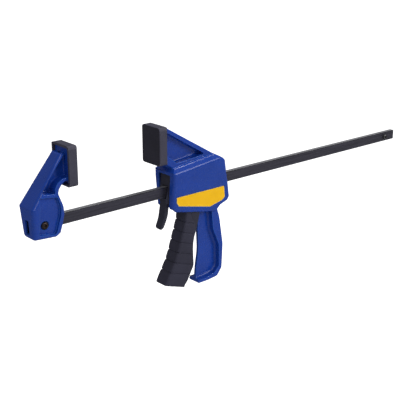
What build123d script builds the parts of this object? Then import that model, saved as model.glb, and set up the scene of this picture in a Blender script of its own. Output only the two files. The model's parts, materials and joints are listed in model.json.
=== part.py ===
from build123d import *
import os
from math import atan2, cos, degrees, hypot, radians, sin, tan

# One-handed bar clamp with a quick release. All sizes are in millimetres.
#
# The finished part stands in this frame: the origin is the centre of the fixed pad's clamping
# face, +X runs along the bar to its free end and +Z is up. The pieces are drawn with Z = 0 at the
# bar's top face and are lowered into the part's frame when they are written. Each jaw is drawn in
# its own u, which runs along the bar, away from the work. Its pad sits against the jaw at SEAT_U.

# ---- bar and its stop pin ----
BAR_HEIGHT = 9.5
BAR_THICKNESS = 4.8
BAR_EDGE = 0.4
BAR_TAIL = 408.0
BAR_HEAD = 38.2
STOP_SETBACK = 16.0
STOP_PIN_D = 4.8
STOP_PIN_WALL = 1.0
STOP_PIN_LENGTH = 9.4
STOP_PIN_SLOT = 0.7
END_SLOT_FIT = 0.5

# ---- pads ----
PAD_WIDTH = 24.7
PAD_HEIGHT = 33.4
PAD_THICKNESS = 8.25
PAD_CORNER = 2.6
PAD_EDGE = 0.7
PAD_FACE_WALL = 3.2
PAD_RIM = 2.0
PAD_RISE = 22.4
OPENING = 80.4
SEAT_U = 8.55

# ---- clearances ----
PAD_FIT = 0.3
SOCKET_FIT = 0.1
GUIDE_FIT = 0.25
PIN_FIT = 0.05
MOVING_GAP = 0.35
SEAT_GAP = 0.1
SPRING_FIT = 0.38
BITE_FIT = 0.1

# ---- fixed jaw ----
FIXED_TOP_HALF = 7.2
FIXED_WAIST_HALF = 11.9
FIXED_FOOT_HALF = 8.4
FIXED_CORE_HALF = 6.0
HEAD_PLATE = 3.0
FIXED_EDGE_R = 3.2
JAW_WEB_HALF = 1.6
SCREW_U = 29.0
SCREW_D = 4.0
SCREW_HEAD_D = 6.6
SCREW_HEAD_HEIGHT = 2.4
SCREW_CROSS_WIDTH = 0.95
SCREW_TIP = 0.6
NUT_AF = 7.0
NUT_HEIGHT = 3.2
NUT_RECESS = 2.0

# ---- moving jaw ----
BODY_HALF = 13.8
BODY_WIDEST_Z = 7.0
BODY_DRAFT = 0.1074
SHOULDER_CHAMFER = 3.9
SHOULDER_R = 1.5
BODY_FRONT_U = 14.0
BODY_FRONT_R = 2.8
BODY_REAR_R = 2.8
BELLY_R = 1.5
WALL = 2.6
FRONT_WALL = 1.6
OPENING_TOP_HALF = 7.9
OPENING_FOOT_HALF = 5.6
OPENING_FOOT_Z = -20.0
LIP_Z = 11.0
MOUTH_HALF = 8.6
PARTITION_U = 30.0
PARTITION = 3.0
PARTITION_HEIGHT = 31.5
REAR_WALL_U = 68.0
ARM_HALF = 8.0
HANDLE_HALF = 7.2
HANDLE_WEB_HALF = 1.5
HANDLE_EDGE_R = 1.0
ARM_EDGE_R = 1.2
LABEL_THICKNESS = 0.3
LABEL_PROUD = 0.1
LABEL_FIT = 0.15

# ---- trigger ----
PIVOT_U = 41.0
PIVOT_Z = 9.0
PIVOT_BOSS_R = 4.6
PIN_D = 4.0
PIN_HALF_LENGTH = 8.4
CHEEK_HALF = 6.6
CHANNEL_HALF = 4.3
CHANNEL_FLOOR = 2.4
GRIP_THICKNESS = 1.3
TRIGGER_HALF = 7.9
GRIP_GROOVES = 6
GROOVE_WIDTH = 0.9
GROOVE_DEPTH = 0.55
NOSE_R = 2.0
NOSE_Z = -12.5

# ---- plates, lever and springs ----
PLATE = 2.0
PLATE_HALF = 7.3
PLATE_SLOT_FIT = 0.3
DRIVE_PLATE_FOOT = 7.5
BRAKE_PLATE_FOOT = 3.5
DRIVE_PLATE_TOP_Z = 8.0
CANT = 8.5
LEVER_U = 18.8
LEVER_Z = 12.6
BEAD_R = 2.2
LEVER_HALF = 7.8
LEVER_TAIL_HALF = 4.1
LEVER_TIP_Z = -38.4
LEVER_WEB = 1.0
WIRE_D = 1.1
BRAKE_SPRING_COILS = 2.5
DRIVE_SPRING_COILS = 4.5

BAR_MID_Z = -BAR_HEIGHT / 2
PAD_MID_Z = PAD_RISE + PAD_HEIGHT / 2
FACE_U = SEAT_U - PAD_FIT - PAD_THICKNESS
SPRING_INNER_R = hypot(BAR_HEIGHT, BAR_THICKNESS) / 2 + SPRING_FIT
SPRING_REACH = SPRING_INNER_R + WIRE_D
NOSE_U = 46.1
DRIVE_PLATE_U = NOSE_U + NOSE_R + SEAT_GAP
CANT_SLOPE = tan(radians(CANT))


# ---- helpers ----
def outline(*corners):
    """Closed outline on the side plane from (u, z) corners, rounded where a third number gives a radius."""
    starts, mids, ends = [], [], []
    for i, corner in enumerate(corners):
        x, z = corner[:2]
        radius = corner[2] if len(corner) > 2 else 0
        to_last = _unit(corner, corners[i - 1])
        to_next = _unit(corner, corners[(i + 1) % len(corners)])
        half = atan2(hypot(to_last[0] - to_next[0], to_last[1] - to_next[1]) / 2,
                     hypot(to_last[0] + to_next[0], to_last[1] + to_next[1]) / 2)
        cut = radius / tan(half)
        reach = radius / sin(half) - radius
        inward = hypot(to_last[0] + to_next[0], to_last[1] + to_next[1])
        inward = ((to_last[0] + to_next[0]) / inward, (to_last[1] + to_next[1]) / inward)
        starts.append((x + to_last[0] * cut, z + to_last[1] * cut))
        mids.append((x + inward[0] * reach, z + inward[1] * reach))
        ends.append((x + to_next[0] * cut, z + to_next[1] * cut))
    lines = []
    for i, corner in enumerate(corners):
        if len(corner) > 2:
            lines.append(ThreePointArc(starts[i], mids[i], ends[i]))
        lines.append(Line(ends[i], starts[(i + 1) % len(corners)]))
    return make_face(Wire(lines))


def _unit(here, there):
    """Unit vector from one (u, z) corner towards another."""
    dx, dz = there[0] - here[0], there[1] - here[1]
    length = hypot(dx, dz)
    return dx / length, dz / length


def side_plate(face, half, inner_half=0):
    """Plate of a side-plane face between inner_half and half on both sides of the mid-plane."""
    plate = extrude(Plane.XZ * face, amount=half, both=True)
    if inner_half:
        plate -= extrude(Plane.XZ * face, amount=inner_half, both=True)
    return plate


def envelope(levels, front_r, rear_r):
    """Solid through level sections (z, front u, rear u, half-width) with rounded upright corners."""
    sections = []
    for z, front_u, rear_u, half in levels:
        section = Pos((front_u + rear_u) / 2, 0, z) * Rectangle(rear_u - front_u, 2 * half)
        section = fillet(section.vertices().sort_by(Axis.X)[-2:], rear_r)
        sections.append(fillet(section.vertices().sort_by(Axis.X)[:2], front_r))
    return loft(sections, ruled=True)


def front_prism(half_widths, u0, u1):
    """Prism along the bar whose half-width follows the (z, half-width) list."""
    right = [(half, z) for z, half in half_widths]
    left = [(-half, z) for z, half in reversed(half_widths)]
    face = make_face(Polyline(*right, *left, close=True))
    return extrude(Plane.YZ.offset(u0) * face, amount=u1 - u0)


def cross_pin(diameter, half_length, u, z):
    """Round pin across the clamp, centred on the mid-plane."""
    return Pos(u, 0, z) * Rot(90, 0, 0) * Cylinder(diameter / 2, 2 * half_length)


def bar_hole(fit, u0, u1):
    """Clearance for the bar between u0 and u1."""
    hole = Box(u1 - u0, BAR_THICKNESS + 2 * fit, BAR_HEIGHT + 2 * fit)
    return Pos((u0 + u1) / 2, 0, BAR_MID_Z) * hole


def coil_spring(u0, u1, coils):
    """Compression spring on the bar between two seats; its wire has eight flats for a circle."""
    reach = u1 - u0 - WIRE_D
    path = Helix(reach / coils, reach, SPRING_INNER_R + WIRE_D / 2)
    section = Plane(path @ 0, z_dir=path % 0) * RegularPolygon(WIRE_D / 2, 8)
    wire = sweep(section, path, is_frenet=True)
    return Pos(u0 + WIRE_D / 2, 0, BAR_MID_Z) * Rot(0, 90, 0) * Rot(0, 0, 180) * wire


def turned(shape, degrees_back, u, z):
    """Shape turned about a cross axis, its lower end towards the fixed jaw."""
    return Pos(u, 0, z) * Rot(0, degrees_back, 0) * Pos(-u, 0, -z) * shape


# ---- bar ----
def bar():
    length = BAR_TAIL + BAR_HEAD
    solid = Box(length, BAR_THICKNESS, BAR_HEIGHT)
    solid = chamfer(solid.edges().filter_by(Axis.X), BAR_EDGE)
    solid = Pos((BAR_TAIL - BAR_HEAD) / 2 + FACE_U, 0, BAR_MID_Z) * solid
    tail = solid.faces().sort_by(Axis.X)[-1]
    solid = chamfer(tail.edges(), BAR_EDGE * 1.5)
    solid -= cross_pin(STOP_PIN_D, BAR_THICKNESS, BAR_TAIL + FACE_U - STOP_SETBACK, BAR_MID_Z)
    return solid - cross_pin(SCREW_D + 2 * SOCKET_FIT, BAR_THICKNESS, FACE_U - SCREW_U, BAR_MID_Z)


def stop_pin():
    radius = STOP_PIN_D / 2
    tube = Cylinder(radius, STOP_PIN_LENGTH)
    tube = chamfer(tube.edges().filter_by(GeomType.CIRCLE), STOP_PIN_WALL * 0.4)
    tube -= Cylinder(radius - STOP_PIN_WALL, STOP_PIN_LENGTH)
    tube -= Pos(radius / 2, 0, 0) * Box(radius * 1.2, STOP_PIN_SLOT, STOP_PIN_LENGTH)
    return Pos(BAR_TAIL + FACE_U - STOP_SETBACK, 0, BAR_MID_Z) * Rot(90, 0, 0) * tube


# ---- pads ----
def pad():
    """Cap pad in front of its jaw: a plain face with a recess behind it."""
    cap = Box(PAD_THICKNESS, PAD_WIDTH, PAD_HEIGHT)
    cap = fillet(cap.edges().filter_by(Axis.X), PAD_CORNER)
    cap = fillet(cap.faces().sort_by(Axis.X)[0].edges(), PAD_EDGE)
    cap = chamfer(cap.faces().sort_by(Axis.X)[-1].edges(), PAD_EDGE * 0.6)
    recess = Box(PAD_THICKNESS, PAD_WIDTH - 2 * PAD_RIM, PAD_HEIGHT - 2 * PAD_RIM)
    recess = fillet(recess.edges().filter_by(Axis.X), PAD_CORNER / 2)
    return Pos(FACE_U + PAD_THICKNESS / 2, 0, PAD_MID_Z) * (cap - Pos(PAD_FACE_WALL, 0, 0) * recess)


def pad_post():
    """Plate and neck of a jaw that fill the pad's recess."""
    width = PAD_WIDTH - 2 * PAD_RIM - 2 * PAD_FIT
    height = PAD_HEIGHT - 2 * PAD_RIM - 2 * PAD_FIT
    depth = PAD_THICKNESS - PAD_FACE_WALL
    plate = Box(HEAD_PLATE, width, height)
    plate = fillet(plate.edges().filter_by(Axis.X), PAD_CORNER / 2)
    floor_u = FACE_U + PAD_FACE_WALL
    plate = Pos(floor_u + HEAD_PLATE / 2, 0, PAD_MID_Z) * plate
    neck = Box(depth + 2, 2 * FIXED_TOP_HALF, height - 2)
    return plate + Pos(floor_u + depth / 2 + 1, 0, PAD_MID_Z) * neck


# ---- fixed jaw ----
def fixed_jaw():
    plan = envelope([(-18.0, 0, 40.0, FIXED_FOOT_HALF), (10.5, 0, 41.6, FIXED_WAIST_HALF),
                     (51.0, 0, 10.8, FIXED_TOP_HALF)], 0.5, FIXED_EDGE_R)
    profile = outline((SEAT_U, 49.6), (60.0, 49.6), (60.0, -14.6), (40.0, -15.2, 2), (20.2, -16.5, 4),
                      (15.9, -13.6, 3), (14.9, 6.0, 4), (18.6, 20.5, 6), (16.4, 25.4, 4), (12.6, 28.6, 3),
                      (SEAT_U, 28.7))
    jaw = side_plate(profile, FIXED_WAIST_HALF + 1) & plan
    jaw += pad_post()
    back_u = FACE_U + PAD_FACE_WALL + HEAD_PLATE
    upper = outline((back_u, 46.5), (10.0, 46.5, 1), (29.2, 21.4, 1.2), (20.4, 20.4, 0.8), (21.4, 24.6, 3),
                    (18.4, 28.6, 3), (13.6, 31.0, 3), (back_u, 31.1))
    lower = outline((34.6, 18.2, 1), (20.6, 16.9, 1), (18.0, 7.4, 3), (18.4, -0.6, 3), (19.6, -12.6, 1),
                    (35.2, -11.2, 1))
    jaw -= side_plate(upper, BODY_HALF, JAW_WEB_HALF)
    jaw -= side_plate(lower, BODY_HALF, FIXED_CORE_HALF)
    collar = Box(5, 2 * FIXED_CORE_HALF - 2, BAR_HEIGHT + 3)
    collar = fillet(collar.edges().filter_by(Axis.X), 1.2)
    jaw += Pos(15.0, 0, BAR_MID_Z + 1.2) * collar
    jaw -= bar_hole(SOCKET_FIT, 5, 60)
    jaw -= bar_hole(END_SLOT_FIT, FACE_U + BAR_HEAD, 60)
    jaw -= cross_pin(SCREW_D + 2 * SOCKET_FIT, BODY_HALF, SCREW_U, BAR_MID_Z)
    recess = _hexagon(NUT_AF + 2 * SOCKET_FIT, 2 * NUT_RECESS)
    return jaw - Pos(SCREW_U, FIXED_CORE_HALF, BAR_MID_Z) * Rot(90, 0, 0) * recess


def _hexagon(across_flats, height):
    prism = RegularPolygon(across_flats / 2, 6, major_radius=False)
    return extrude(prism, amount=height / 2, both=True)


def fixed_jaw_screw():
    head = Cylinder(SCREW_HEAD_D / 2, SCREW_HEAD_HEIGHT)
    head = chamfer(head.edges().sort_by(Axis.Z)[-1], SCREW_HEAD_HEIGHT * 0.4)
    slot = Box(SCREW_HEAD_D * 0.58, SCREW_CROSS_WIDTH, SCREW_HEAD_HEIGHT * 0.62)
    cross = slot + Rot(0, 0, 90) * slot
    head -= Pos(0, 0, SCREW_HEAD_HEIGHT / 2) * cross
    reach = 2 * FIXED_CORE_HALF + NUT_HEIGHT - NUT_RECESS + SCREW_TIP
    shank = Pos(0, 0, -(SCREW_HEAD_HEIGHT + reach) / 2) * Cylinder(SCREW_D / 2, reach)
    seat = FIXED_CORE_HALF + SCREW_HEAD_HEIGHT / 2
    return Pos(SCREW_U, -seat, BAR_MID_Z) * Rot(90, 0, 0) * (head + shank)


def fixed_jaw_nut():
    nut = _hexagon(NUT_AF, NUT_HEIGHT) - Cylinder(SCREW_D / 2 + PIN_FIT / 5, NUT_HEIGHT)
    return Pos(SCREW_U, FIXED_CORE_HALF - NUT_RECESS + NUT_HEIGHT / 2, BAR_MID_Z) * Rot(90, 0, 0) * nut


# ---- moving jaw: housing, arm and handle in one moulding ----
def _body_half(z):
    """Half-width of the housing's drafted side at height z."""
    return BODY_HALF - max(0, BODY_WIDEST_Z - z) * BODY_DRAFT


def _housing_block():
    """Drafted housing: level sections give its plan, a side outline gives its top and bottom."""
    rear = [(-32.0, 80.9), (-20.0, 80.5), (-5.0, 77.5), (BODY_WIDEST_Z, 74.4), (24.0, 72.0)]
    levels = [(z, BODY_FRONT_U, rear_u, _body_half(z)) for z, rear_u in rear]
    plan = envelope(levels, BODY_FRONT_R, BODY_REAR_R)
    profile = outline((10.0, 9.9), (17.4, 17.5, 1.5), (63.0, 22.7, 1.5), (73.0, 16.8, 6.5),
                      (74.8, 5.0), (90.0, 5.0), (90.0, -20.0), (78.4, -23.6, 2), (70.0, -26.2, 3),
                      (66.0, -31.2), (56.0, -29.6), (14.2, -20.9, 3.5), (10.0, -14.0))
    block = side_plate(profile, BODY_HALF + 1) & plan & _shoulder_prism()
    lower_edges = block.edges().filter_by(lambda e: e.center().Z < -21 and e.length > 20)
    belly = lower_edges.filter_by(lambda e: abs(e.center().Y) > 9)
    return fillet(belly, BELLY_R)


def _shoulder_prism():
    """Space under a plane just above the housing's sloping top, with its two long edges cut off."""
    lift = 0.3
    plane = Plane(origin=(17.4, 0, 17.5 + lift), x_dir=(0, 1, 0), z_dir=(45.6, 0, 5.2))
    flat = BODY_HALF - SHOULDER_CHAMFER - lift
    drop = -SHOULDER_CHAMFER - lift
    below = -90.0
    face = make_face(Polyline((-flat, 0), (flat, 0), (BODY_HALF, drop), (BODY_HALF, below),
                              (-BODY_HALF, below), (-BODY_HALF, drop), close=True))
    face = fillet(face.vertices().filter_by(lambda v: v.Y > below / 2), SHOULDER_R)
    return extrude(plane.offset(-20) * face, amount=120)


def _cavity():
    floor_z = -50.0
    front_u = BODY_FRONT_U + FRONT_WALL
    profile = outline((front_u, 12.6), (17.8, 14.0), (57.0, 17.2), (REAR_WALL_U, 12.5),
                      (REAR_WALL_U, BAR_MID_Z - SPRING_REACH - 1.4), (60.5, -19.5), (60.5, floor_z),
                      (front_u, floor_z))
    roof_half = BODY_HALF - WALL - 0.6
    sides = front_prism([(floor_z, MOUTH_HALF), (-28.0, MOUTH_HALF), (-20.0, MOUTH_HALF + 0.2),
                         (BODY_WIDEST_Z, roof_half), (20.0, roof_half)], 0, 90)
    return side_plate(profile, BODY_HALF) & sides


def _arm():
    profile = outline((SEAT_U, 54.0), (11.0, 53.4, 2), (64.0, 22.1), (64.0, 15.0), (20.0, 15.0),
                      (SEAT_U, 23.4))
    arm = side_plate(profile, ARM_HALF)
    top = arm.edges().filter_by(lambda e: abs(e.center().Y) > ARM_HALF - 0.01 and e.length > 55)
    arm = fillet(top, ARM_EDGE_R) + pad_post()
    back_u = FACE_U + PAD_FACE_WALL + HEAD_PLATE
    pocket = outline((back_u, 49.6), (10.9, 49.6, 1), (53.4, 23.9, 0.8), (22.0, 20.9, 1), (11.4, 30.4, 1),
                     (back_u, 30.4))
    return arm - side_plate(pocket, BODY_HALF, JAW_WEB_HALF)


def _handle():
    grip = outline((52.0, -19.0), (51.4, -48.0, 30), (52.4, -68.0, 30), (50.0, -82.0, 20), (48.2, -94.6),
                   (46.0, -94.9, 1.4), (46.2, -98.5, 1.6), (57.0, -98.3, 12), (69.3, -96.0, 5),
                   (75.0, -89.0, 4), (76.0, -66.3, 20), (70.5, -37.5, 30), (66.8, -28.0), (70.0, -20.0))
    rim = outline((40.0, -19.0), (40.0, -95.2), (57.0, -94.8, 12), (66.2, -92.8, 4), (71.6, -87.0, 3),
                  (71.8, -64.0, 8), (64.4, -48.0, 12), (62.4, -29.0), (62.4, -19.0))
    handle = side_plate(grip, HANDLE_HALF)
    sides = handle.edges().filter_by(lambda e: abs(e.center().Y) > HANDLE_HALF - 0.01 and (e @ 0).X > 56)
    return fillet(sides, HANDLE_EDGE_R) - side_plate(rim, BODY_HALF, HANDLE_WEB_HALF)


def _pin_bosses():
    """Upright ribs on the side walls that hold the trigger pin's ends; the pin snaps in from below."""
    inner = CHEEK_HALF + MOVING_GAP
    top = PIVOT_Z + PIVOT_BOSS_R
    rib = Box(2 * PIVOT_BOSS_R, 2 * (BODY_HALF - WALL), top + 3)
    rib = Pos(PIVOT_U, 0, (top - 3) / 2) * (rib - Box(2 * PIVOT_BOSS_R, 2 * inner, top + 3))
    seat_reach = PIN_HALF_LENGTH + SEAT_GAP
    throat = Box(PIN_D - 0.3, 2 * seat_reach, PIVOT_Z + 6)
    throat = Pos(PIVOT_U, 0, (PIVOT_Z - 6) / 2) * throat
    return rib - cross_pin(PIN_D + 2 * PIN_FIT, seat_reach, PIVOT_U, PIVOT_Z) - throat


def _label_face(grow=0.0):
    """Label outline on the housing's near side, and the plane it lies in."""
    plane = Plane(origin=(0, -BODY_HALF, BODY_WIDEST_Z), x_dir=(1, 0, 0),
                  z_dir=(0, -cos(_draft_angle()), -sin(_draft_angle())))
    face = outline((18.0, -15.3, 0.6), (72.6, -15.6, 0.6), (74.6, -26.3, 1.5), (72.0, -28.9, 1),
                   (58.2, -32.2, 3), (20.8, -24.2, 2), (18.4, -20.6, 2))
    return plane, offset(face, grow) if grow else face


def _draft_angle():
    return atan2(BODY_DRAFT, 1)


def side_label():
    plane, face = _label_face()
    return extrude(plane.offset(LABEL_PROUD - LABEL_THICKNESS) * face, amount=LABEL_THICKNESS)


def _front_opening(gap):
    """Space in the housing's open front, narrower towards its foot, less a gap on each side."""
    return front_prism([(-50.0, OPENING_FOOT_HALF - gap), (OPENING_FOOT_Z, OPENING_FOOT_HALF - gap),
                        (LIP_Z, OPENING_TOP_HALF - gap), (20.0, OPENING_TOP_HALF - gap)], 0, 40)


def moving_jaw():
    jaw = _housing_block()
    plane, face = _label_face(LABEL_FIT)
    jaw -= extrude(plane.offset(LABEL_PROUD - LABEL_THICKNESS) * face, amount=2)
    cavity = _cavity()
    jaw -= cavity
    jaw += _arm() - cavity
    jaw += _handle()
    opening = outline((5.0, LIP_Z), (19.0, LIP_Z), (19.0, -50.0), (5.0, -50.0))
    jaw -= _front_opening(0) & side_plate(opening, BODY_HALF)
    partition = Box(PARTITION, 2 * (BODY_HALF - WALL), PARTITION_HEIGHT)
    partition = Pos(PARTITION_U + PARTITION / 2, 0, -1.2) * partition
    jaw += (partition & cavity) + (_pin_bosses() & cavity)
    jaw -= bar_hole(GUIDE_FIT, 10, 90)
    return jaw - cross_pin(2 * (BEAD_R + SEAT_GAP), LEVER_HALF + MOVING_GAP, LEVER_U, LEVER_Z)


# ---- trigger ----
def _trigger_front(inset):
    """Front line of the trigger from the housing down to its toe, moved back by inset."""
    return [(33.4 + inset, -19.0), (31.7 + inset, -39.0), (26.6 + inset, -57.0), (19.2 + inset, -73.2),
            (7.8 + inset, -89.6 + inset / 4)]


def _trigger_profile(inset=0.0):
    front = Spline(*_trigger_front(inset))
    rear = [(28.6, -95.2), (36.4, -83.2), (39.4, -75.0), (39.2, -60.0), (42.4, -45.6), (47.0, -30.0),
            (47.4, -19.0)]
    rear_lines = Polyline(front @ 1, *rear, front @ 0)
    return make_face([front, *rear_lines.edges()])


def trigger_core():
    """Hard trigger: two cheeks that straddle the bar, a nose on each, and a channel open to the rear."""
    below = _trigger_profile(GRIP_THICKNESS)
    above = outline((33.4 + GRIP_THICKNESS, -19.2), (33.4 + GRIP_THICKNESS, -14.0, 4), (36.4, PIVOT_Z),
                    (36.4, PIVOT_Z + PIVOT_BOSS_R, 4.5), (45.6, PIVOT_Z + PIVOT_BOSS_R, 4.5), (45.6, 2.0, 6),
                    (46.6, NOSE_Z + 3), (46.6, NOSE_Z - 4), (47.4, -19.2))
    core = side_plate(below, CHEEK_HALF) + side_plate(above, CHEEK_HALF)
    core += cross_pin(2 * NOSE_R, CHEEK_HALF, NOSE_U, NOSE_Z)
    core += side_plate(_rear_band(), TRIGGER_HALF)
    inner = _trigger_profile(GRIP_THICKNESS + CHANNEL_FLOOR)
    channel = side_plate(inner, CHANNEL_HALF) - Pos(20, 0, -97.5) * Box(60, 30, 10)
    bar_gap = outline((30, 3.6), (52, 3.6), (60, -93), (38, -93), (39, -19.0), (39, -16.5, 2),
                      (30, -16.5))
    core -= side_plate(bar_gap, CHANNEL_HALF) + channel
    return core - cross_pin(PIN_D + 2 * PIN_FIT, BODY_HALF, PIVOT_U, PIVOT_Z)


def _rear_band():
    """Bare rear edge of the trigger beside the soft grip."""
    return outline((28.6, -95.2), (36.4, -83.2), (39.4, -75.0), (39.2, -60.0), (42.4, -45.6), (47.0, -30.0),
                   (47.4, -24.0), (35.6, -24.0), (36.8, -30.0), (40.0, -38.4), (39.8, -44.0), (36.2, -57.0),
                   (35.8, -72.8), (33.6, -79.6), (27.2, -94.6))


def trigger_grip():
    """Soft grip moulded round the front of the trigger, with finger grooves."""
    top_cut = Pos(30, 0, -19.0) * Box(60, 40, 10)
    skin = side_plate(_trigger_profile(), TRIGGER_HALF - 0.3) - top_cut
    outside = side_plate(_trigger_profile(-1), TRIGGER_HALF + 1)
    inside = side_plate(_trigger_profile(GROOVE_DEPTH), TRIGGER_HALF - 0.3 - GROOVE_DEPTH)
    skin -= _groove_slabs() & (outside - inside)
    skin -= side_plate(_trigger_profile(GRIP_THICKNESS), CHEEK_HALF)
    return skin - side_plate(_rear_band(), BODY_HALF)


def _groove_slabs():
    front = Spline(*_trigger_front(0))
    slabs = []
    for i in range(GRIP_GROOVES):
        at = front @ (0.24 + 0.122 * i)
        run = front % (0.24 + 0.122 * i)
        turn = degrees(atan2(-run.X, -run.Y))
        slabs.append(Pos(at.X, 0, at.Y) * Rot(0, turn, 0) * Pos(6, 0, 0) * Box(30, 30, GROOVE_WIDTH))
    return Part() + slabs


def trigger_pin():
    pin = Cylinder(PIN_D / 2, 2 * PIN_HALF_LENGTH)
    pin = chamfer(pin.edges().filter_by(GeomType.CIRCLE), 0.4)
    return Pos(PIVOT_U, 0, PIVOT_Z) * Rot(90, 0, 0) * pin


# ---- drive plates and spring ----
def drive_plate(order):
    foot_z = -BAR_HEIGHT - DRIVE_PLATE_FOOT
    height = DRIVE_PLATE_TOP_Z - foot_z
    plate = Box(PLATE, 2 * PLATE_HALF, height)
    plate = fillet(plate.edges().filter_by(Axis.X), 2)
    plate = Pos(DRIVE_PLATE_U + PLATE * (order + 0.5), 0, foot_z + height / 2) * plate
    return plate - bar_hole(PLATE_SLOT_FIT, 40, 70)


def drive_spring():
    return coil_spring(DRIVE_PLATE_U + 2 * PLATE + SEAT_GAP, REAR_WALL_U - SEAT_GAP, DRIVE_SPRING_COILS)


# ---- release lever, brake plates and spring ----
def release_lever():
    """Lever on a round bead: a shield in the housing's open front and a finger tail with a round end."""
    tail = side_plate(outline((15.9, 2.0), (12.0, -17.6, 20), (9.9, -28.4, 20), (5.2, -36.4, 1.2),
                              (7.8, LEVER_TIP_Z, 1.2), (13.0, -28.8, 20), (15.9, -17.6, 20), (18.9, 2.0)),
                      LEVER_TAIL_HALF)
    end = Pos(10, 0, LEVER_TIP_Z + LEVER_TAIL_HALF) * Rot(0, 90, 0) * Cylinder(LEVER_TAIL_HALF, 20)
    tail &= end + Pos(10, 0, LEVER_TIP_Z + LEVER_TAIL_HALF + 25) * Box(30, 20, 50)
    shield = side_plate(outline((16.6, LEVER_Z), (13.5, -10.0), (12.9, -14.6, 1), (16.0, -14.6),
                                (19.0, LEVER_Z)), LEVER_HALF)
    lever = tail + (shield & _front_opening(MOVING_GAP))
    lever += cross_pin(2 * BEAD_R, LEVER_HALF, LEVER_U, LEVER_Z)
    lever -= bar_hole(1.0, 5, 30)
    plates = Pos(LEVER_U + LEVER_WEB + 2 * PLATE, 0, -5) * Box(4 * PLATE, 40, 70)
    return lever - turned(plates, CANT, LEVER_U, LEVER_Z)


def _brake_u(depth, z):
    """Where a plane of the canted plates stands at height z; depth is measured from their front face."""
    return LEVER_U + (LEVER_WEB + depth) / cos(radians(CANT)) - (LEVER_Z - z) * CANT_SLOPE


def brake_plate(order):
    top_z, foot_z = LEVER_Z + 0.3, -BAR_HEIGHT - BRAKE_PLATE_FOOT
    plate = Box(PLATE, 2 * PLATE_HALF, top_z - foot_z)
    plate = fillet(plate.edges().filter_by(Axis.X), 2)
    plate = Pos(LEVER_U + LEVER_WEB + PLATE * (order + 0.5), 0, (top_z + foot_z) / 2) * plate
    plate = turned(plate, CANT, LEVER_U, LEVER_Z)
    middle_u = _brake_u(PLATE, BAR_MID_Z)
    rise = PLATE * CANT_SLOPE + BITE_FIT
    slot = Box(60, BAR_THICKNESS + 2 * PLATE_SLOT_FIT, BAR_HEIGHT + 2 * rise)
    return plate - turned(Pos(middle_u, 0, BAR_MID_Z) * slot, CANT, middle_u, BAR_MID_Z)


def brake_spring():
    start_u = _brake_u(2 * PLATE, BAR_MID_Z + SPRING_REACH) + SEAT_GAP
    return coil_spring(start_u, PARTITION_U - SEAT_GAP, BRAKE_SPRING_COILS)


# ---- write every piece ----
def fixed_side(shape):
    return mirror(Pos(-FACE_U, 0, 0) * shape, about=Plane.YZ)


def moving_side(shape):
    return Pos(OPENING - FACE_U, 0, 0) * shape


def pieces():
    return {
        "bar": bar(),
        "stop_pin": stop_pin(),
        "fixed_jaw": fixed_side(fixed_jaw()),
        "fixed_jaw_pad": fixed_side(pad()),
        "fixed_jaw_screw": fixed_side(fixed_jaw_screw()),
        "fixed_jaw_nut": fixed_side(fixed_jaw_nut()),
        "moving_jaw": moving_side(moving_jaw()),
        "moving_jaw_pad": moving_side(pad()),
        "side_label": moving_side(side_label()),
        "trigger_core": moving_side(trigger_core()),
        "trigger_grip": moving_side(trigger_grip()),
        "trigger_pin": moving_side(trigger_pin()),
        "drive_plate_front": moving_side(drive_plate(0)),
        "drive_plate_rear": moving_side(drive_plate(1)),
        "drive_spring": moving_side(drive_spring()),
        "release_lever": moving_side(release_lever()),
        "brake_plate_front": moving_side(brake_plate(0)),
        "brake_plate_rear": moving_side(brake_plate(1)),
        "brake_spring": moving_side(brake_spring()),
    }


def main():
    os.makedirs("parts", exist_ok=True)
    for name, shape in pieces().items():
        export_step(Pos(0, 0, -PAD_MID_Z) * shape, f"parts/{name}.step")


main()
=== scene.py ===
"""Visible pieces of a one-handed quick release bar clamp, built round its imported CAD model.

Pieces are drawn in millimetres. A jaw's own coordinates are u, the distance behind its pad's
clamping face, and z, the height above the bar's top face; y is the same as in the model. settle()
puts a finished piece into the model's frame, in metres.
"""
import json
from cmath import phase, rect
from contextlib import contextmanager
from math import atan2, ceil, copysign, cos, pi, radians, sin, tan

import bpy
from bpy.props import FloatProperty, FloatVectorProperty, IntProperty, PointerProperty
from mathutils import Matrix, Vector

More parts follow.
